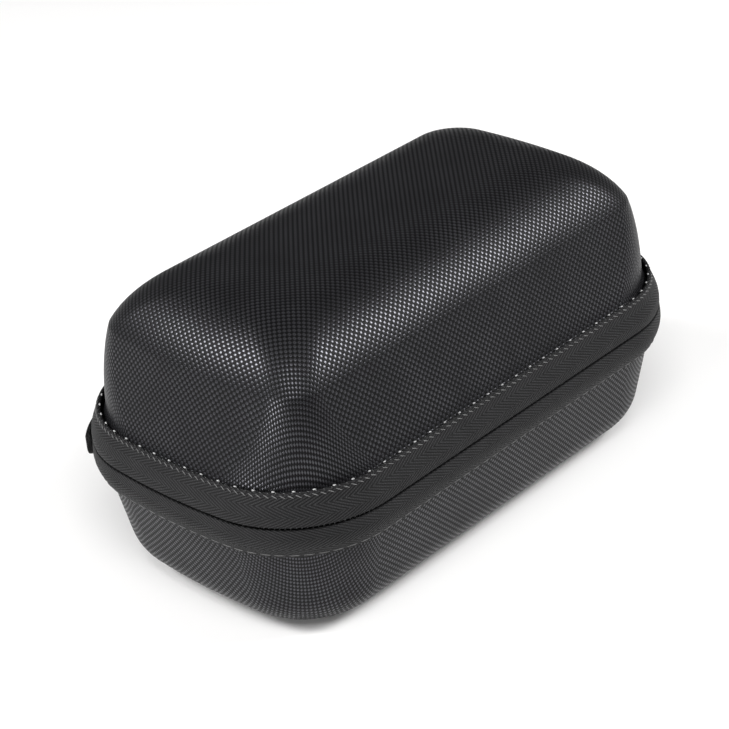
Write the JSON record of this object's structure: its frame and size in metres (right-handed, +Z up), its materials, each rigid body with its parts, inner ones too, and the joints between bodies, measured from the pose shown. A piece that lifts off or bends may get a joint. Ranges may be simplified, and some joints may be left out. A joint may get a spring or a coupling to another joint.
{
  "type": "launch monitor carrying case",
  "caption": "Zipped hard carrying case for a pocket golf launch monitor: moulded foam lid and base faced with woven nylon, coil zip with hanging pulls, fabric hinge, cut foam insert, net pocket",
  "frame": {"origin": "middle of the flat underside that the case stands on", "axes": "+X along the case towards the end where the zip sliders are parked, +Y towards the hinge at the back, +Z up"},
  "size_m": [0.1553, 0.0879, 0.076],
  "materials": {
    "cover_fabric": "black ballistic nylon, woven, slightly glossy yarns",
    "zip_tape": "black herringbone zip tape",
    "foam": "closed cell moulded foam, matt",
    "lining": "brushed knit lining",
    "net": "knitted net",
    "elastic": "ribbed elastic",
    "thread": "polyester thread, dark grey",
    "coil": "moulded nylon coil",
    "slider_metal": "black lacquered zinc",
    "grip_rubber": "soft moulded grip"
  },
  "bodies": {
    "base": {"base_cover": "cover_fabric", "base_foam_shell": "foam", "base_lining": "lining", "base_edge_binding": "zip_tape", "base_zip_tape": "zip_tape", "base_zip_coil": "coil", "base_tape_stitching": "thread", "foam_insert": "foam", "insert_facing": "lining", "zip_end_stops": "slider_metal", "hinge_strip": "zip_tape", "hinge_lining": "lining"},
    "lid": {"lid_cover": "cover_fabric", "lid_foam_shell": "foam", "lid_lining": "lining", "lid_edge_binding": "zip_tape", "lid_zip_tape": "zip_tape", "lid_zip_coil": "coil", "lid_tape_stitching": "thread", "net_pocket": "net", "pocket_elastic": "elastic", "pocket_binding": "zip_tape"},
    "front_slider": {"front_slider": "slider_metal"},
    "front_pull": {"front_pull_tab": "slider_metal", "front_pull_grip": "grip_rubber"},
    "rear_slider": {"rear_slider": "slider_metal"},
    "rear_pull": {"rear_pull_tab": "slider_metal", "rear_pull_grip": "grip_rubber"}
  },
  "joints": [
    {"name": "lid_hinge", "type": "hinge", "parent": "base", "child": "lid", "pos_m": [0, 0.043, 0.0345], "axis": [-1, 0, 0], "range_deg": [0, 150], "deforming": ["hinge_strip", "hinge_lining"]},
    {"name": "front_slider_travel", "type": "hinge", "parent": "base", "child": "front_slider", "pos_m": [-0.105, 0, 0.0345], "axis": [0, 0, -1], "range_deg": [0, 7.2]},
    {"name": "rear_slider_travel", "type": "hinge", "parent": "base", "child": "rear_slider", "pos_m": [0.04626, 0.015, 0.0345], "axis": [0, 0, 1], "range_deg": [0, 23]},
    {"name": "front_pull_swing", "type": "hinge", "parent": "front_slider", "child": "front_pull", "pos_m": [0.07837, 0.00916, 0.0345], "axis": [0.0499, -0.9988, 0], "range_deg": [0, 165]},
    {"name": "rear_pull_swing", "type": "hinge", "parent": "rear_slider", "child": "rear_pull", "pos_m": [0.07747, 0.01994, 0.0345], "axis": [0.1564, -0.9877, 0], "range_deg": [0, 165]}
  ]
}
